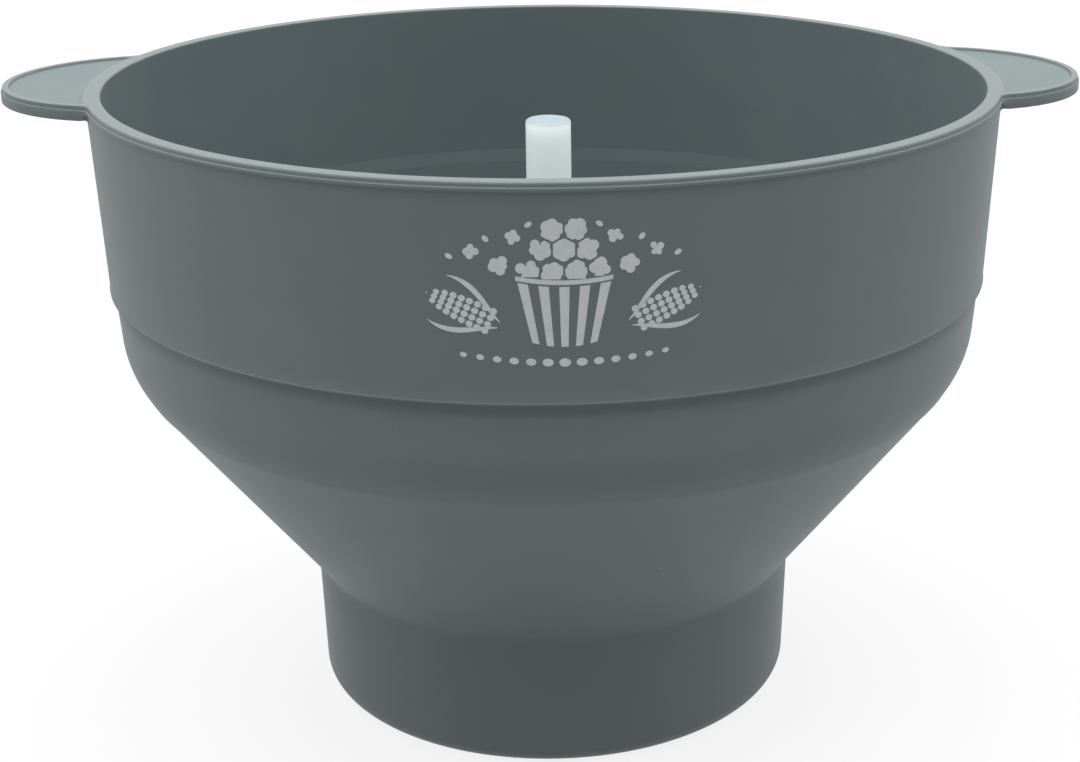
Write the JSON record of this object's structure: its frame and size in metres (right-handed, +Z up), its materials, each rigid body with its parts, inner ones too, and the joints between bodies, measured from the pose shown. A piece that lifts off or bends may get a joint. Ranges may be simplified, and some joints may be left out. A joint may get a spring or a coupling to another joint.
{
  "type": "collapsible popcorn popper bowl",
  "caption": "Collapsible silicone microwave popcorn bowl with tab handles, a fold-flat web, a base cup and a lift-out centre post.",
  "frame": {"origin": "centre of the base at the surface that the bowl stands on", "axes": "+Z up along the bowl's axis, +X through the handle on the viewer's right, +Y away from the viewer"},
  "size_m": [0.2508, 0.2108, 0.1507],
  "materials": {
    "silicone": "matte moulded silicone, blue-grey",
    "post_white": "satin, slightly translucent white"
  },
  "bodies": {
    "base": {"base_wall": "silicone", "base_floor": "silicone", "post_collar": "silicone", "cone_wall": "silicone", "crease_ring": "silicone", "fold_web": "silicone"},
    "upper": {"rim_ring": "silicone", "left_handle": "silicone", "right_handle": "silicone", "upper_wall": "silicone", "fold_lip": "silicone"},
    "post": {"centre_post": "post_white"}
  },
  "joints": [
    {"name": "collapse", "type": "slide", "parent": "base", "child": "upper", "axis": [0, 0, -1], "range_m": [0, 0.086], "deforming": ["fold_web"]},
    {"name": "post_lift", "type": "slide", "parent": "base", "child": "post", "axis": [0, 0, 1], "range_m": [0, 0.155]}
  ]
}
